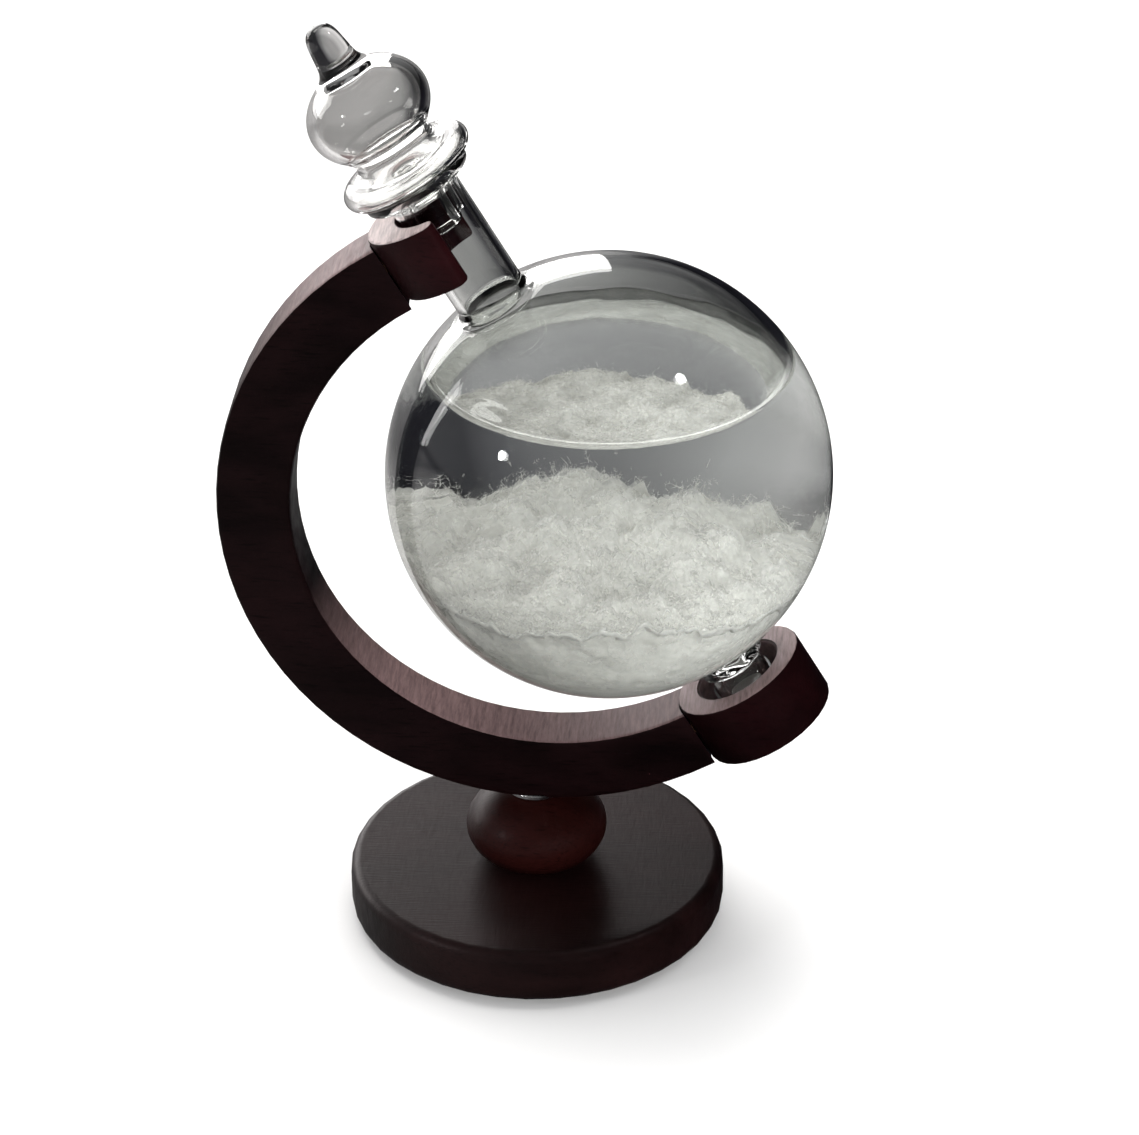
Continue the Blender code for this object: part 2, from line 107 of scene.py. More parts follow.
# The camera: its angles in degrees, what it looks at, its distance in metres and its lens
AZIMUTH = 3.86
ELEVATION = 29.20
ROLL = -0.61
PIVOT = Vector((6.69, 0.0, 73.19)) * MM
DISTANCE = 0.7239
LENS = 126.43


def new_camera():
    """The camera, with no shift and no depth of field."""
    az, el, roll = (math.radians(a) for a in (AZIMUTH, ELEVATION, ROLL))
    back = Vector((math.sin(az) * math.cos(el), -math.cos(az) * math.cos(el), math.sin(el)))
    right = Vector((math.cos(az), math.sin(az), 0.0))
    up = back.cross(right)
    turned_right = right * math.cos(roll) + up * math.sin(roll)
    turned_up = up * math.cos(roll) - right * math.sin(roll)
    data = bpy.data.cameras.new("camera")
    data.sensor_width = 36.0
    data.lens = LENS
    data.clip_start = 0.01
    data.clip_end = 50.0
    camera = bpy.data.objects.new("camera", data)
    bpy.context.scene.collection.objects.link(camera)
    matrix = Matrix((turned_right, turned_up, back)).transposed().to_4x4()
    matrix.translation = PIVOT + back * DISTANCE
    camera.matrix_world = matrix
    bpy.context.scene.camera = camera


class Tree:
    """A short way to write a node tree. A value is a socket to link, or a number or colour to set."""

    def __init__(self, data):
        self.tree = data.node_tree
        self.tree.nodes.clear()

    def add(self, kind, inputs=(), **settings):
        """A node with its properties set, and values put on its inputs by number or name."""
        node = self.tree.nodes.new(kind)
        for name, value in settings.items():
            setattr(node, name, value)
        for key, value in dict(inputs).items():
            self.put(value, node.inputs[key])
        return node

    def put(self, value, socket):
        if isinstance(value, bpy.types.NodeSocket):
            self.tree.links.new(value, socket)
        elif socket.type == "RGBA":
            socket.default_value = (*value, 1.0)
        else:
            socket.default_value = value

    def place(self):
        """Object coordinates."""
        return self.add("ShaderNodeTexCoord").outputs["Object"]

    def normal(self):
        return self.add("ShaderNodeNewGeometry").outputs["Normal"]

    def light_path(self):
        return self.add("ShaderNodeLightPath").outputs

    def coords(self, scale=(1.0, 1.0, 1.0), turn=(0.0, 0.0, 0.0)):
        """Object coordinates, turned and scaled."""
        inputs = {"Vector": self.place(), "Rotation": turn, "Scale": scale}
        return self.add("ShaderNodeMapping", inputs).outputs[0]

    def parts(self, vector):
        """The three numbers of a vector."""
        return self.add("ShaderNodeSeparateXYZ", {0: vector}).outputs

    def noise(self, vector, scale, detail=4.0, rough=0.55, warp=0.0):
        inputs = {"Vector": vector, "Scale": scale, "Detail": detail, "Roughness": rough, "Distortion": warp}
        return self.add("ShaderNodeTexNoise", inputs).outputs["Fac"]

    def ramp(self, fac, stops):
        """A colour ramp with stops of (place, colour)."""
        node = self.add("ShaderNodeValToRGB", {0: fac})
        elements = node.color_ramp.elements
        while len(elements) < len(stops):
            elements.new(0.5)
        for element, (place, colour) in zip(elements, stops):
            element.position = place
            element.color = (*colour, 1.0)
        return node.outputs[0]

    def remap(self, fac, low, high, to_low, to_high):
        return self.add("ShaderNodeMapRange", {0: fac, 1: low, 2: high, 3: to_low, 4: to_high}).outputs[0]

    def number(self, operation, first, second=0.0):
        """A number from one or two numbers, by a Math operation."""
        return self.add("ShaderNodeMath", {0: first, 1: second}, operation=operation).outputs[0]

    def vector(self, operation, first, second=(0.0, 0.0, 0.0)):
        """A vector, or its length or dot product, by a Vector Math operation."""
        node = self.add("ShaderNodeVectorMath", {0: first, 1: second}, operation=operation)
        return node.outputs["Value" if operation in ("DOT_PRODUCT", "LENGTH") else "Vector"]

    def mix(self, fac, first, second, blend="MIX"):
        """Two colours, mixed."""
        inputs = {0: fac, 6: first, 7: second}
        return self.add("ShaderNodeMix", inputs, data_type="RGBA", blend_type=blend).outputs[2]

    def mix_numbers(self, fac, first, second):
        return self.add("ShaderNodeMix", {0: fac, 2: first, 3: second}).outputs[0]

    def mix_shaders(self, fac, first, second):
        return self.add("ShaderNodeMixShader", {0: fac, 1: first, 2: second}).outputs[0]

    def bump(self, height, strength, distance):
        inputs = {"Height": height, "Strength": strength, "Distance": distance}
        return self.add("ShaderNodeBump", inputs).outputs[0]

    def principled(self, colour, rough, normal, constants):
        """The usual shader. Constants are the inputs that are the same all over, by name."""
        shader = self.add("ShaderNodeBsdfPrincipled", {"Base Color": colour, "Roughness": rough, **constants})
        if normal:
            self.put(normal, shader.inputs["Normal"])
        return shader.outputs[0]

    def finish(self, shader, volume=None):
        """The material's output."""
        out = self.add("ShaderNodeOutputMaterial", {"Surface": shader})
        if volume:
            self.put(volume, out.inputs["Volume"])


def new_material(name):
    made = bpy.data.materials.new(name)
    made.use_nodes = True
    return made, Tree(made)


def wood(name, stain, turn, rough, shine, less_stain_and_light_mask=None, pale=None):
    """Stained wood under a fine satin lacquer: long fibres, open pores and slightly rubbed edges.

    The faces that a mask picks out are paler and show saw marks: partly wood that took less stain, partly a
    painted sheen, and in the cup's bore painted light.
    """
    made, tree = new_material(name)
    dark, light = stain
    streaks = tree.noise(tree.coords((6.0, 1.0, 1.0), turn), 260.0, 6.0, 0.6, 0.25)
    figure = tree.noise(tree.coords((0.35, 1.0, 1.0), turn), 90.0, 3.0, 0.5, 0.6)
    pores = tree.noise(tree.coords((0.09, 1.0, 1.0), turn), 2600.0, 2.0, 0.6)
    shade = tree.ramp(figure, [(0.32, dark), (0.68, light)])
    pore_mask = tree.remap(pores, 0.56, 0.7, 0.0, 0.75)
    shade = tree.mix(pore_mask, shade, tuple(c * 0.35 for c in dark))
    edge = tree.add("ShaderNodeNewGeometry").outputs["Pointiness"]
    worn = tree.remap(edge, 0.53, 0.62, 0.0, 0.35)
    shade = tree.mix(worn, shade, tuple(min(1.0, c * 2.4) for c in light))
    height = tree.mix(0.5, streaks, pores)
    # Painted sheen and painted light: the masked faces are paler, only partly from less stain.
    if less_stain_and_light_mask:
        marks = tree.noise(tree.coords((1.0, 0.12, 1.0), turn), 1500.0, 4.0, 0.7)
        mask = less_stain_and_light_mask(tree)
        bare_and_lit = tree.ramp(marks, [(0.3, tuple(c * 0.45 for c in pale)), (0.7, pale)])
        shade = tree.mix(mask, shade, bare_and_lit)
        height = tree.mix(mask, height, marks)
    lacquer = tree.remap(streaks, 0.3, 0.7, rough - 0.06, rough + 0.09)
    constants = {"Specular IOR Level": shine, "Specular Tint": (1.0, 0.86, 0.87)}
    tree.finish(tree.principled(shade, lacquer, tree.bump(height, 0.22, 0.0003), constants))
    return made


def across_axis(tree):
    """A mask of the faces square to the globe's axis: the tops and bottoms of the end blocks."""
    return tree.remap(tree.vector("DOT_PRODUCT", tree.normal(), AXIS), 0.86, 0.97, 0.0, 1.0)


def cup_faces_and_lit_bore(tree):
    """A mask of the cup's end faces, which carry a painted sheen, and, less so, of its bore, whose paler wall
    is painted light.
    """
    away = tree.vector("SUBTRACT", tree.place(), GLOBE_CENTRE)
    radius = tree.vector("LENGTH", tree.vector("CROSS_PRODUCT", away, AXIS))
    return tree.number("MAXIMUM", across_axis(tree), tree.remap(radius, 0.0081, 0.0085, BORE_PAINTED_LIGHT, 0.0))


def arm_wear_and_sheen(tree):
    """A mask of the arm's curved faces where they look up, which hands have worn and where a sheen is painted
    in.
    """
    away = tree.vector("SUBTRACT", tree.place(), ARM_MIDDLE)
    outward = tree.vector("NORMALIZE", tree.vector("MULTIPLY", away, (1.0, 0.0, 1.0)))
    normal = tree.normal()
    curved = tree.number("ABSOLUTE", tree.vector("DOT_PRODUCT", normal, outward))
    upward = tree.remap(tree.parts(normal)[2], 0.35, 0.8, 0.0, 1.0)
    return tree.number("MULTIPLY", tree.remap(curved, 0.8, 0.96, 0.0, 1.0), upward)


def felt(name, dark, light):
    """Wool felt with short fibres."""
    made, tree = new_material(name)
    fibres = tree.noise(tree.coords(), 1800.0, 5.0, 0.7, 1.4)
    clumps = tree.noise(tree.coords(), 260.0, 3.0)
    shade = tree.ramp(fibres, [(0.35, dark), (0.7, light)])
    shade = tree.mix(tree.remap(clumps, 0.4, 0.7, 0.0, 0.3), shade, dark)
    rough = tree.remap(fibres, 0.3, 0.7, 0.85, 1.0)
    constants = {"Sheen Weight": 0.4, "Specular IOR Level": 0.1}
    tree.finish(tree.principled(shade, rough, tree.bump(fibres, 0.7, 0.0006), constants))
    return made


def steel():
    """Turned steel with fine rings and a few darker spots."""
    made, tree = new_material("steel_turned")
    rings = tree.noise(tree.coords((1.0, 1.0, 9.0)), 900.0, 3.0, 0.6)
    spots = tree.noise(tree.coords(), 400.0, 4.0)
    shade = tree.ramp(spots, [(0.35, (0.42, 0.41, 0.4)), (0.6, (0.66, 0.66, 0.67))])
    rough = tree.remap(rings, 0.3, 0.7, 0.2, 0.38)
    tree.finish(tree.principled(shade, rough, tree.bump(rings, 0.25, 0.0002), {"Metallic": 1.0}))
    return made


def clear(name, colour, ior, lamp_tint, ripple, absorb=None, rough=0.0):
    """A clear material, with the slight ripple of blown glass.

    It lets the lamps' light straight through, less so at its edges. What it absorbs is given as a
    colour and a density.
    """
    made, tree = new_material(name)
    normal = None
    if ripple:
        waves = tree.noise(tree.coords(), 55.0, 1.5, 0.4, 0.5)
        normal = tree.bump(waves, ripple, 0.0012)
    bent = tree.principled(colour, rough, normal, {"Transmission Weight": 1.0, "IOR": ior})
    facing = tree.add("ShaderNodeLayerWeight", {"Blend": 0.25}).outputs["Facing"]
    tint = tree.mix(facing, lamp_tint, tuple(c * 0.72 for c in lamp_tint))
    straight = tree.add("ShaderNodeBsdfTransparent", {"Color": tint}).outputs[0]
    shader = tree.mix_shaders(tree.light_path()["Is Shadow Ray"], bent, straight)
    volume = None
    if absorb:
        inputs = {"Color": absorb[0], "Density": absorb[1]}
        volume = tree.add("ShaderNodeVolumeAbsorption", inputs).outputs[0]
    tree.finish(shader, volume)
    return made


def crystal(name, dull, bright, translucent, airy=False):
    """White crystals that glow where light comes through them, with painted shade that darkens them to the
    left.

    Airy crystals are a haze with clear gaps, open near the bottom, that casts no shadow.
    """
    made, tree = new_material(name)
    clouds = tree.noise(tree.coords(), 95.0, 5.0, 0.6, 0.4)
    feather = tree.noise(tree.coords(), 900.0, 5.0, 0.65, 1.2)
    x, _, z = tree.parts(tree.place())
    # Painted shade: the crystals are made darker towards the left, where less light falls on them.
    painted_left_shade = tree.remap(x, -0.01, 0.035, 1.0, 0.0)
    shade = tree.ramp(clouds, [(0.33, dull), (0.66, bright)])
    shade = tree.mix(painted_left_shade, shade, (0.7, 0.695, 0.68), "MULTIPLY")
    rough = tree.remap(feather, 0.3, 0.7, 0.35, 0.65)
    front = tree.principled(shade, rough, tree.bump(feather, 0.35, 0.0008), {"Specular IOR Level": 0.15})
    back = tree.add("ShaderNodeBsdfTranslucent", {"Color": shade}).outputs[0]
    shader = tree.mix_shaders(translucent, front, back)
    if airy:
        wisps = tree.noise(tree.coords(), 300.0, 5.0, 0.65, 0.35)
        low = tree.remap(z, 0.062, 0.074, 1.0, 0.0)
        gaps = tree.number("MAXIMUM", tree.remap(wisps, 0.36, 0.68, 0.85, 0.45), low)
        gaps = tree.number("MAXIMUM", gaps, tree.light_path()["Is Shadow Ray"])
        shader = tree.mix_shaders(gaps, shader, tree.add("ShaderNodeBsdfTransparent").outputs[0])
    tree.finish(shader)
    return made


def smooth_shading():
    """A geometry node group that shades smooth across edges flatter than an angle."""
    group = bpy.data.node_groups.new("smooth_by_angle", "GeometryNodeTree")
    group.interface.new_socket("Geometry", in_out="INPUT", socket_type="NodeSocketGeometry")
    group.interface.new_socket("Geometry", in_out="OUTPUT", socket_type="NodeSocketGeometry")
    start = group.nodes.new("NodeGroupInput")
    end = group.nodes.new("NodeGroupOutput")
    angle = group.nodes.new("GeometryNodeInputMeshEdgeAngle")
    compare = group.nodes.new("FunctionNodeCompare")
    compare.operation = "GREATER_THAN"
    compare.inputs[1].default_value = math.radians(38.0)
    forget = group.nodes.new("GeometryNodeRemoveAttribute")
    forget.inputs["Name"].default_value = "custom_normal"
    faces = group.nodes.new("GeometryNodeSetShadeSmooth")
    edges = group.nodes.new("GeometryNodeSetShadeSmooth")
    edges.domain = "EDGE"
    edges.inputs["Shade Smooth"].default_value = False
    group.links.new(start.outputs[0], forget.inputs["Geometry"])
    group.links.new(forget.outputs[0], faces.inputs["Geometry"])
    group.links.new(faces.outputs[0], edges.inputs["Geometry"])
    group.links.new(angle.outputs["Unsigned Angle"], compare.inputs[0])
    group.links.new(compare.outputs[0], edges.inputs["Selection"])
    group.links.new(edges.outputs[0], end.inputs[0])
    return group


def dress(node, material, shading):
    """Gives a CAD node welded, smooth shading and a new material."""
    obj = nodes[node]
    weld = obj.modifiers.new("weld", "WELD")
    weld.merge_threshold = 0.000002
    smooth = obj.modifiers.new("smooth", "NODES")
    smooth.node_group = shading
    weighted = obj.modifiers.new("weighted", "WEIGHTED_NORMAL")
    weighted.keep_sharp = True
    for slot in obj.material_slots:
        slot.material = material


def mesh_object(name, points, faces, material, matrix, smooth=True):
    """An object from points in millimetres, moved by a matrix in metres."""
    mesh = bpy.data.meshes.new(name)
    mesh.from_pydata([Vector(p) * MM for p in points], [], faces)
    mesh.polygons.foreach_set("use_smooth", [smooth] * len(mesh.polygons))
    mesh.update()
    obj = bpy.data.objects.new(name, mesh)
    bpy.context.scene.collection.objects.link(obj)
    mesh.materials.append(material)
    mesh.transform(matrix)
    return obj


def arc(centre_r, centre_z, radius_r, radius_z, from_deg, to_deg, count):
    """Points of a round or squashed arc."""
    angles = np.radians(np.linspace(from_deg, to_deg, count + 1))
    return [(centre_r + radius_r * math.cos(a), centre_z + radius_z * math.sin(a)) for a in angles]


def spline(points, count):
    """A smooth curve through points, by Catmull and Rom, with a count of steps between two."""
    made = []
    last = len(points) - 1
    for i in range(last):
        p0, p1, p2, p3 = (np.array(points[min(max(i + k, 0), last)]) for k in (-1, 0, 1, 2))
        for step in range(count):
            t = step / count
            value = 2 * p1 + (p2 - p0) * t + (2 * p0 - 5 * p1 + 4 * p2 - p3) * t * t
            value = value + (3 * p1 - p0 - 3 * p2 + p3) * t ** 3
            made.append(tuple(value / 2))
    return made + [tuple(points[-1])]


def lathe(name, profile, material, steps, matrix):
    """A piece turned about local Z. A profile point on the axis makes a pole."""
    points = []
    rings = []
    for r, z in profile:
        if r < 1e-4:
            rings.append([len(points)] * steps)
            points.append((0.0, 0.0, z))
            continue
        rings.append(list(range(len(points), len(points) + steps)))
        for step in range(steps):
            turn = math.tau * step / steps
            points.append((r * math.cos(turn), r * math.sin(turn), z))
    faces = []
    for upper, lower in zip(rings, rings[1:]):
        for step in range(steps):
            after = (step + 1) % steps
            corners = [upper[step], lower[step], lower[after], upper[after]]
            face = [c for i, c in enumerate(corners) if c not in corners[:i]]
            if len(face) > 2:
                faces.append(face)
    return mesh_object(name, points, faces, material, matrix)


def lean_matrix():
    """The globe's own frame, in which its axis is local Z."""
    matrix = LEAN.to_4x4()
    matrix.translation = GLOBE_CENTRE
    return matrix


def flute_ring(globe, flutes=10.0, depth=0.09, reach=1.7, twist=0.8):
    """Presses shallow, twisted flutes into the ring of the foot, as a tool leaves in hot glass."""
    own = lean_matrix()
    back = own.inverted()
    for vertex in globe.data.vertices:
        place = back @ vertex.co / MM
        share = max(0.0, 1.0 - abs(place.z - RING_HEIGHT) / reach)
        wave = 0.5 + 0.5 * math.sin(flutes * math.atan2(place.y, place.x) + twist * place.z)
        squeeze = 1.0 - depth * share * wave
        vertex.co = own @ (Vector((place.x * squeeze, place.y * squeeze, place.z)) * MM)


def build_globe(material):
    """The blown globe with its neck, lip and foot: a ring and a ball with a bubble in it."""
    neck_deg = math.degrees(math.acos(NECK_BORE_R / INNER_R))
    profile = arc(0.0, 0.0, INNER_R, INNER_R, -90.0, neck_deg - 3.0, 78)
    profile += spline([(6.4, 37.95), (5.5, 38.6), (NECK_BORE_R, 39.8), (NECK_BORE_R, 43.0)], 5)
    profile += [(NECK_BORE_R, 50.0), (NECK_BORE_R, 57.0), (NECK_BORE_R, 64.8)]
    profile += spline(
        [
            (NECK_BORE_R, 65.4), (5.5, 66.05), (6.2, 66.3), (8.4, 66.3), (9.5, 66.05), (10.0, 65.3),
            (9.8, 64.6), (8.8, 64.15), (7.5, 63.8), (6.8, 63.3), (NECK_R, 62.4),
        ],
        4,
    )
    profile += [(NECK_R, 57.0), (NECK_R, 50.0), (NECK_R, 43.6)]
    profile += spline([(NECK_R, 42.0), (6.55, 40.8), (6.8, 40.0), (7.4, 39.5), (8.3, 39.15)], 5)
    profile += arc(0.0, 0.0, GLOBE_R, GLOBE_R, 76.2, -81.5, 84)
    profile += spline([(5.3, -39.75), (4.5, -40.2), (4.05, -40.8), (4.1, -41.4), (4.5, -41.8)], 5)
    profile += arc(5.0, RING_HEIGHT, 1.6, 1.4, 80.0, -110.0, 16)
    profile += [(4.1, -44.9)] + arc(0.0, BALL_HEIGHT, 5.9, 4.6, 50.0, -90.0, 26)
    globe = lathe("globe_glass", profile, material, 144, lean_matrix())
    flute_ring(globe)
    wall = arc(0.0, BALL_HEIGHT + 0.3, 3.9, 3.2, -90.0, 90.0, 24)
    bubble = lathe("foot_bubble", wall, material, 48, lean_matrix())
    join = bmesh.new()
    join.from_mesh(globe.data)
    join.from_mesh(bubble.data)
    join.to_mesh(globe.data)
    join.free()
    bpy.data.objects.remove(bubble, do_unlink=True)
    return globe


def build_stopper(material):
    """The hollow blown stopper, open at the end of its plug, with a hollow collar and waist."""
    outer = spline(
        [
            (0.0, 97.9), (1.3, 97.65), (2.3, 96.9), (2.9, 95.6), (3.25, 93.5), (3.6, 91.0),
            (3.95, 89.95), (4.6, 89.05), (5.6, 88.2),
        ],
        5,
    )
    outer += arc(0.0, STOPPER_HEIGHT, 11.3, 8.7, 56.0, -40.0, 40)
    outer += spline(
        [
            (8.35, 74.6), (7.75, 73.95), (7.4, 73.1), (7.5, 72.2), (8.1, 71.35), (9.2, 70.7),
            (10.6, 70.35),
        ],
        5,
    )
    outer += arc(10.3, COLLAR_HEIGHT, 2.0, 1.9, 70.0, -84.0, 18)
    outer += spline([(9.4, 66.6), (6.6, 66.6), (5.1, 66.5), (4.8, 65.6), (3.9, 64.95), (3.6, 64.4)], 4)
    outer += [(3.6, 60.0), (3.6, 56.4)]
    outer += spline([(3.55, 56.0), (3.3, 55.75), (2.9, 55.7), (2.5, 55.8), (2.2, 56.2)], 3)
    inner = [(2.2, 60.0)]
    inner += spline([(2.2, 64.4), (2.35, 66.2), (3.2, 67.25), (5.2, 67.5), (7.6, 67.5)], 5)
    inner += arc(9.7, COLLAR_HEIGHT, 1.3, 1.0, -90.0, 90.0, 14)
    inner += spline([(8.6, 69.6), (7.3, 70.2), (6.4, 71.2), (6.05, 73.0), (6.2, 74.4), (6.6, 75.3)], 5)
    inner += arc(0.0, STOPPER_HEIGHT, 9.7, 7.1, -45.0, 90.0, 44)
    return lathe("stopper_glass", outer + inner, material, 120, lean_matrix())


def build_liquid(material):
    """The liquid, level, with a small meniscus where it climbs the glass.

    It reaches a little way into the wall, so that no gap shows between liquid and glass.
    """
    radius = INNER_R + 0.1
    rim = LEVEL + MENISCUS
    rim_deg = math.degrees(math.asin(rim / radius))
    rim_r = radius * math.cos(math.radians(rim_deg))
    profile = []
    for r in [*np.linspace(0.0, rim_r - 4.5, 12), *np.linspace(rim_r - 4.2, rim_r, 22)]:
        profile.append((r, LEVEL + MENISCUS * math.exp(-(rim_r - r) / 0.7)))
    profile[-1] = (rim_r, rim)
    profile += arc(0.0, 0.0, radius, radius, rim_deg, -90.0, 90)[1:]
    return lathe("liquid_body", profile, material, 160, Matrix.Translation(GLOBE_CENTRE))


def bed_height(x, y):
    """How high the crystal bed lies, in millimetres from the globe's middle.

    It is a shallow drift that falls to the back and the right. It rises again at the far left,
    and climbs the glass at the front right.
    """
    drift = BED_HEIGHT - BACK_FALL * y - RIGHT_FALL * max(x, 0.0)
    drift = drift + LEFT_RISE * max(LEFT_EDGE - x, 0.0) ** 2
    climb = max(0.0, math.hypot(x, y) - CLIMB_FROM) / CLIMB_WIDTH
    drift += CLIMB * climb ** 2 * max(0.0, 0.75 * x - 0.65 * y) / BED_RADIUS
    lumps = 0.8 * math.sin(0.33 * x + 0.9) * math.cos(0.29 * y - 0.4)
    return drift + lumps + 2.0 * noise.fractal(Vector((x, y, 3.0)) * 0.2, 0.7, 2.2, 4)


def rim_tilt(radius, turn):
    """The angle from straight up at which the bed's top meets a sphere, found by halving."""
    low, high = 0.05, math.pi
    for _ in range(30):
        middle = (low + high) / 2
        x, y = (radius * math.sin(middle) * part(turn) for part in (math.cos, math.sin))
        if radius * math.cos(middle) > bed_height(x, y):
            low = middle
        else:
            high = middle
    return (low + high) / 2


def build_mass(name, material, gap, lift, around, tops, sides):
    """A body of crystals, close to the glass below and lumpy above, at a gap from the glass.

    The lift raises its top above the bed, unevenly.
    """
    radius = INNER_R - gap
    turns = [math.tau * step / around for step in range(around)]
    rims = [rim_tilt(radius, turn) for turn in turns]
    points = [(0.0, 0.0, bed_height(0.0, 0.0) + lift)]
    rings = []
    for ring in range(1, tops + 1):
        share = ring / tops
        rings.append(len(points))
        for turn, rim in zip(turns, rims):
            reach = radius * math.sin(rim) * share
            x, y = reach * math.cos(turn), reach * math.sin(turn)
            crumbs = (0.4 + 0.7 * lift) * noise.fractal(Vector((x, y, 9.0)) * 1.1, 0.7, 2.2, 4)
            points.append((x, y, bed_height(x, y) + lift + crumbs - 1.5 * share ** 6))
    for ring in range(1, sides):
        share = ring / sides
        rings.append(len(points))
        for turn, rim in zip(turns, rims):
            tilt = rim + (math.pi - rim) * share
            flat = math.sin(tilt)
            way = Vector((flat * math.cos(turn), flat * math.sin(turn), math.cos(tilt)))
            loose = min(1.0, max(0.05, (way.z + 0.85) / 0.6)) * min(1.0, 9.0 * share)
            hollow = 0.5 + 0.5 * noise.fractal(way * 6.0, 0.8, 2.1, 5)
            crumbs = 0.3 + 0.3 * noise.fractal(way * 38.0, 0.8, 2.2, 3)
            depth = loose * (2.2 * max(0.0, hollow) + max(0.0, crumbs))
            points.append(tuple(way * (radius - depth)))
    points.append((0.0, 0.0, -radius))
    faces = [(0, 1 + step, 1 + (step + 1) % around) for step in range(around)]
    for upper, lower in zip(rings, rings[1:]):
        for step in range(around):
            after = (step + 1) % around
            faces.append((upper + step, lower + step, lower + after, upper + after))
    last = rings[-1]
    bottom = len(points) - 1
    faces += [(last + step, bottom, last + (step + 1) % around) for step in range(around)]
    return mesh_object(name, points, faces, material, Matrix.Translation(GLOBE_CENTRE))


def needle_set(pairs, spread, curl):
    """One frond of unit length as slender closed needles: a spine with barbs, in a bent plane."""
    needles = [(Vector((0.0, 0.0, 0.0)), Vector((0.0, 1.0, curl * 0.5)), 0.03)]
    for index in range(pairs):
        share = (index + 0.6) / pairs
        root = Vector((0.0, share, curl * share * share * 0.5))
        reach = 0.42 * math.sin(math.pi * min(1.0, 0.22 + 0.78 * share)) + 0.06
        for side in (-1.0, 1.0):
            way = Vector((side * math.sin(spread), math.cos(spread), curl * share))
            needles.append((root, root + way * reach, 0.02))
    points = []
    faces = []
    for root, tip, width in needles:
        way = (tip - root).normalized()
        side = way.cross(Vector((0.0, 0.0, 1.0))).normalized()
        lift = side.cross(way)
        start = len(points)
        for turn in (0.0, math.tau / 3, 2 * math.tau / 3):
            points.append(root + (side * math.cos(turn) + lift * math.sin(turn)) * width)
        points.append(tip)
        faces += [(start, start + 2, start + 1), (start, start + 1, start + 3)]
        faces += [(start + 1, start + 2, start + 3), (start + 2, start, start + 3)]
    return np.array(points), np.array(faces)


def frond_places(draw, count, low_x, high_x):
    """Where fronds grow: on the bed's top and against the glass, between two places along x.

    Each is a point, the way that the frond grows, and its length, in millimetres.
    """
    places = []
    while len(places) < count:
        way = draw.normal(size=3)
        way /= np.linalg.norm(way)
        if draw.random() < 0.72:
            turn = draw.uniform(0.0, math.tau)
            at_rim = draw.random() < 0.6
            reach = BED_REACH - draw.exponential(4.0) if at_rim else BED_REACH * math.sqrt(draw.random())
            x, y = reach * math.cos(turn), reach * math.sin(turn)
            if not low_x <= x < high_x:
                continue
            clump = max(0.25, 0.7 + 0.9 * noise.noise(Vector((x, y, 0.0)) * 0.3))
            point = np.array([x, y, bed_height(x, y) + clump * draw.exponential(0.6) - 0.5])
            lean = np.array([0.0, 0.0, 1.0]) + 0.9 * way
        else:
            point = way * draw.uniform(35.5, FROND_LIMIT)
            top = bed_height(point[0], point[1]) + 0.8
            if not low_x <= point[0] < high_x or not top - 12.0 * draw.random() < point[2] < top:
                continue
            lean = way + 0.5 * np.array([0.0, 0.0, 1.0]) + 0.2 * point / BED_REACH
        length = 0.35 + draw.exponential(0.22)
        if np.linalg.norm(point) <= FROND_LIMIT:
            places.append((point, lean, length))
    return places


def build_fronds(name, material, places, draw):
    """Many fronds as one mesh, kept inside the glass."""
    kinds = [needle_set(2, 0.9, 0.15), needle_set(2, 0.75, -0.2), needle_set(3, 1.05, 0.3)]
    points = []
    faces = []
    start = 0
    for place, way, length in places:
        shape, triangles = kinds[draw.integers(len(kinds))]
        way = way / np.linalg.norm(way)
        side = np.cross(way, draw.normal(size=3))
        side /= np.linalg.norm(side)
        turn = np.stack([side, way, np.cross(side, way)])
        points.append(shape * length @ turn + place)
        faces.append(triangles + start)
        start += len(shape)
    points = np.concatenate(points)
    reach = np.linalg.norm(points, axis=1, keepdims=True)
    points = points * np.minimum(1.0, (INNER_R - 0.7) / reach)
    faces = np.concatenate(faces).tolist()
    return mesh_object(name, points, faces, material, Matrix.Translation(GLOBE_CENTRE), False)


def floor_material():
    """A pale floor, which fades into the white surroundings, with a painted reflection: where the glass shows
    it, it is painted darker.
    """
    made, tree = new_material("floor_pale")
    path = tree.light_path()
    place = tree.place()
    x, y, _ = tree.parts(place)
    # Painted reflection: the floor that only the glass shows is painted dark to the right and in bands
    # behind.
    across = tree.ramp(
        tree.remap(x, -0.16, 0.1, 0.0, 1.0),
        [
            (0.0, (0.63, 0.62, 0.62)), (0.31, (0.68, 0.67, 0.67)), (0.5, (0.52, 0.52, 0.52)),
            (0.625, (0.254, 0.254, 0.26)), (0.742, (0.096, 0.096, 0.105)),
            (0.8, (0.0175, 0.0175, 0.023)),
        ],
    )
    behind = tree.ramp(
        tree.remap(y, 0.0, 0.4, 0.0, 1.0),
        [
            (stop, (grey, grey, grey))
            for stop, grey in (
                (0.06, 0.4), (0.175, 1.0), (0.325, 0.57), (0.41, 0.57), (0.55, 0.33), (0.78, 0.33),
                (0.925, 0.42),
            )
        ],
    )
    painted_surroundings = tree.mix(1.0, across, behind, "MULTIPLY")
    plain = tree.number("MAXIMUM", path["Is Camera Ray"], path["Diffuse Depth"])
    shade = tree.mix(plain, painted_surroundings, FLOOR)
    near = tree.add("ShaderNodeBsdfDiffuse", {"Color": shade}).outputs[0]
    far = tree.remap(tree.vector("LENGTH", place), 0.25, 0.7, 0.0, 1.0)
    far = tree.number("MULTIPLY", far, path["Is Camera Ray"])
    tree.finish(tree.mix_shaders(far, near, tree.add("ShaderNodeEmission").outputs[0]))
    return made


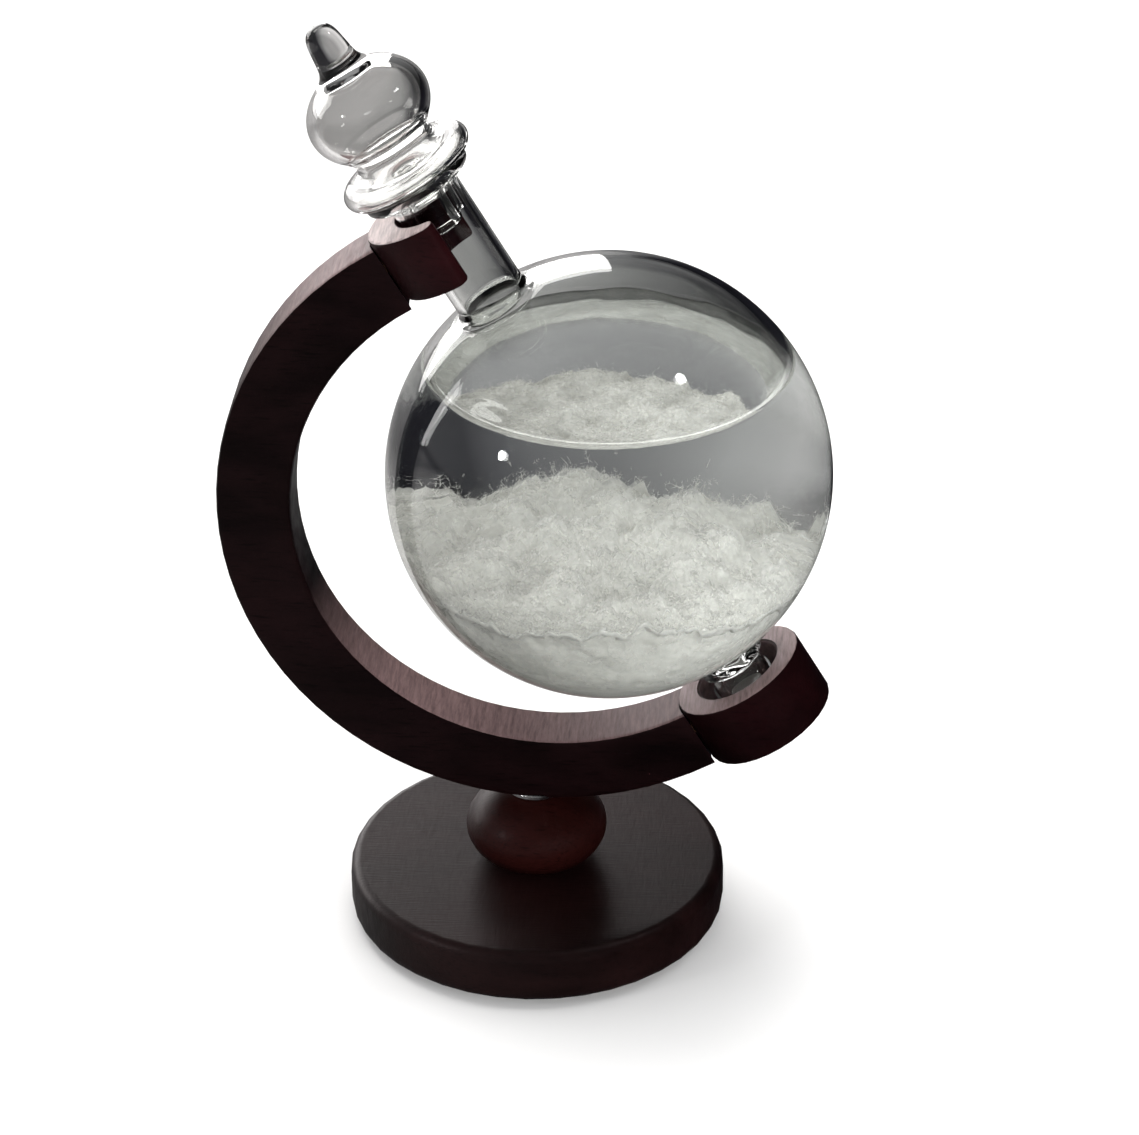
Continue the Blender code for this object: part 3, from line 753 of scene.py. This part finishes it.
def new_floor():
    """A plain floor, much wider than the object."""
    bpy.ops.mesh.primitive_circle_add(vertices=128, radius=6.0, fill_type="NGON", location=(0.0, 0.0, 0.0))
    floor = bpy.context.active_object
    floor.name = "floor"
    floor.data.materials.append(floor_material())


def new_world():
    """White to the camera, soft to the surfaces, and darker to the right in mirror and glass."""
    world = bpy.data.worlds.new("studio")
    world.use_nodes = True
    bpy.context.scene.world = world
    tree = Tree(world)
    path = tree.light_path()
    way = tree.add("ShaderNodeTexCoord").outputs["Generated"]
    mirrored = tree.remap(tree.parts(way)[0], -0.5, 0.5, 0.32, 0.02)
    strength = tree.mix_numbers(path["Diffuse Depth"], mirrored, 0.55)
    strength = tree.mix_numbers(path["Is Camera Ray"], strength, 1.0)
    inputs = {"Color": (0.97, 0.975, 0.985), "Strength": strength}
    tree.add("ShaderNodeOutputWorld", {0: tree.add("ShaderNodeBackground", inputs).outputs[0]})


def new_lamp(name, shape, size, place, aim, power, colour, mirrored):
    """An area lamp that the camera doesn't see. Mirrored lamps show in glass and gloss."""
    data = bpy.data.lights.new(name, "AREA")
    data.shape = shape
    data.size, data.size_y = size
    data.energy = power
    data.color = colour
    lamp = bpy.data.objects.new(name, data)
    bpy.context.scene.collection.objects.link(lamp)
    lamp.location = place
    lamp.rotation_mode = "QUATERNION"
    lamp.rotation_quaternion = (Vector(aim) - Vector(place)).to_track_quat("-Z", "Y")
    lamp.visible_camera = False
    lamp.visible_glossy = mirrored
    lamp.visible_transmission = mirrored


new_camera()
new_floor()
new_world()
bpy.context.scene.view_settings.view_transform = "Standard"

globe_middle = (0.014, 0.0, 0.092)
warm = (1.0, 0.98, 0.96)
daylight = (1.0, 0.985, 0.975)
soft_white = (1.0, 0.995, 0.985)
white = (1.0, 1.0, 1.0)
for name, shape, size, place, aim, power, colour, mirrored in (
    ("key", "RECTANGLE", (0.9, 0.9), (-0.1, 0.25, 1.1), (0.0, 0.0, 0.05), 11.0, warm, False),
    ("window", "RECTANGLE", (1.9, 0.72), (-0.85, 1.05, 0.4), (-0.1, 0.0, 0.2), 18.0, daylight, True),
    ("fill", "RECTANGLE", (1.1, 0.5), (0.6, -0.95, 0.3), (0.0, 0.0, 0.08), 15.0, soft_white, False),
    ("sparkle", "DISK", (0.07, 0.07), (-0.77, -0.47, 0.49), globe_middle, 1.0, white, True),
    ("twinkle", "DISK", (0.09, 0.09), (0.55, -0.06, 0.94), globe_middle, 0.7, white, True),
):
    new_lamp(name, shape, size, place, aim, power, colour, mirrored)

turned_steel = steel()
silicone = clear("silicone_clear", (0.95, 0.95, 0.95), 1.2, (0.9, 0.9, 0.9), 0.1, None, 0.03)
shading = smooth_shading()
for node, material in (
    ("arc_arm", wood("mahogany_arm", ARM_STAIN, ARM_GRAIN, 0.38, 0.08, arm_wear_and_sheen, WORN_AND_SHEEN_ARM)),
    ("base_disc", wood("mahogany_base", BASE_STAIN, BASE_GRAIN, 0.4, 0.22)),
    ("stem_ball", wood("mahogany_stem", STEM_STAIN, STEM_GRAIN, 0.36, 0.12)),
    # The cradle's tops are end grain, with a painted sheen in their pale colour.
    ("fork_cradle", wood("mahogany_cradle", CRADLE_STAIN, BLOCK_GRAIN, 0.38, 0.1, across_axis, SAWN_AND_SHEEN_CRADLE)),
    # The cup's tops have a painted sheen, and its bore painted light, in their pale colour.
    ("socket_cup", wood("mahogany_socket", SOCKET_STAIN, BLOCK_GRAIN, 0.38, 0.1, cup_faces_and_lit_bore, SAWN_AND_LIT_SOCKET)),
    ("fork_dowel", wood("beech_fork", DOWEL_STAIN, DOWEL_GRAIN, 0.55, 0.2)),
    ("socket_dowel", wood("beech_socket", DOWEL_STAIN, DOWEL_GRAIN, 0.55, 0.2)),
    ("base_pad", felt("felt_black", (0.014, 0.014, 0.016), (0.055, 0.054, 0.058))),
    ("socket_cushion", felt("felt_pale", (0.5, 0.46, 0.44), (0.8, 0.76, 0.73))),
    ("base_screw", turned_steel),
    ("stem_washer", turned_steel),
    ("stopper_seal", silicone),
):
    dress(node, material, shading)

glass = clear("glass_blown", (0.93, 0.94, 0.93), 1.47, (0.93, 0.94, 0.94), 0.12)
globe = build_globe(glass)
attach(globe, "globe")
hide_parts("glass_globe")

glass_top = clear("glass_stopper", (0.9, 0.9, 0.89), 1.47, (0.92, 0.93, 0.93), 0.08)
stopper = build_stopper(glass_top)
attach(stopper, "stopper")
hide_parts("stopper")

absorbed = ((0.5, 0.52, 0.53), 3.0)
liquid = clear("liquid_clear", (0.97, 0.98, 0.985), 1.36, (0.97, 0.98, 0.98), 0.0, absorbed)
body = build_liquid(liquid)
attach(body, "contents")
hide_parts("liquid")

dense = crystal("crystal_dense", (0.84, 0.83, 0.795), (0.96, 0.95, 0.915), 0.2)
haze = crystal("crystal_haze", (0.9, 0.89, 0.86), (0.98, 0.97, 0.94), 0.4, True)
for name, material, gap, lift, around, tops, sides in (
    ("crystal_mass", dense, 1.1, 0.0, 400, 92, 120),
    ("crystal_wisps", haze, 0.95, 1.0, 300, 70, 60),
):
    mass = build_mass(name, material, gap, lift, around, tops, sides)
    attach(mass, "contents")
    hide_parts("crystal_bed")

draw = np.random.default_rng(7)
frost = crystal("crystal_frost", (0.9, 0.89, 0.865), (0.98, 0.97, 0.945), 0.35)
for name, low_x, high_x in (
    ("left", -40.0, -12.0),
    ("middle", -12.0, 12.0),
    ("right", 12.0, 40.0),
):
    places = frond_places(draw, FRONDS_IN_THIRD, low_x, high_x)
    tufts = build_fronds("crystal_fronds_" + name, frost, places, draw)
    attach(tufts, "contents")
    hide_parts("crystal_cluster_" + name)
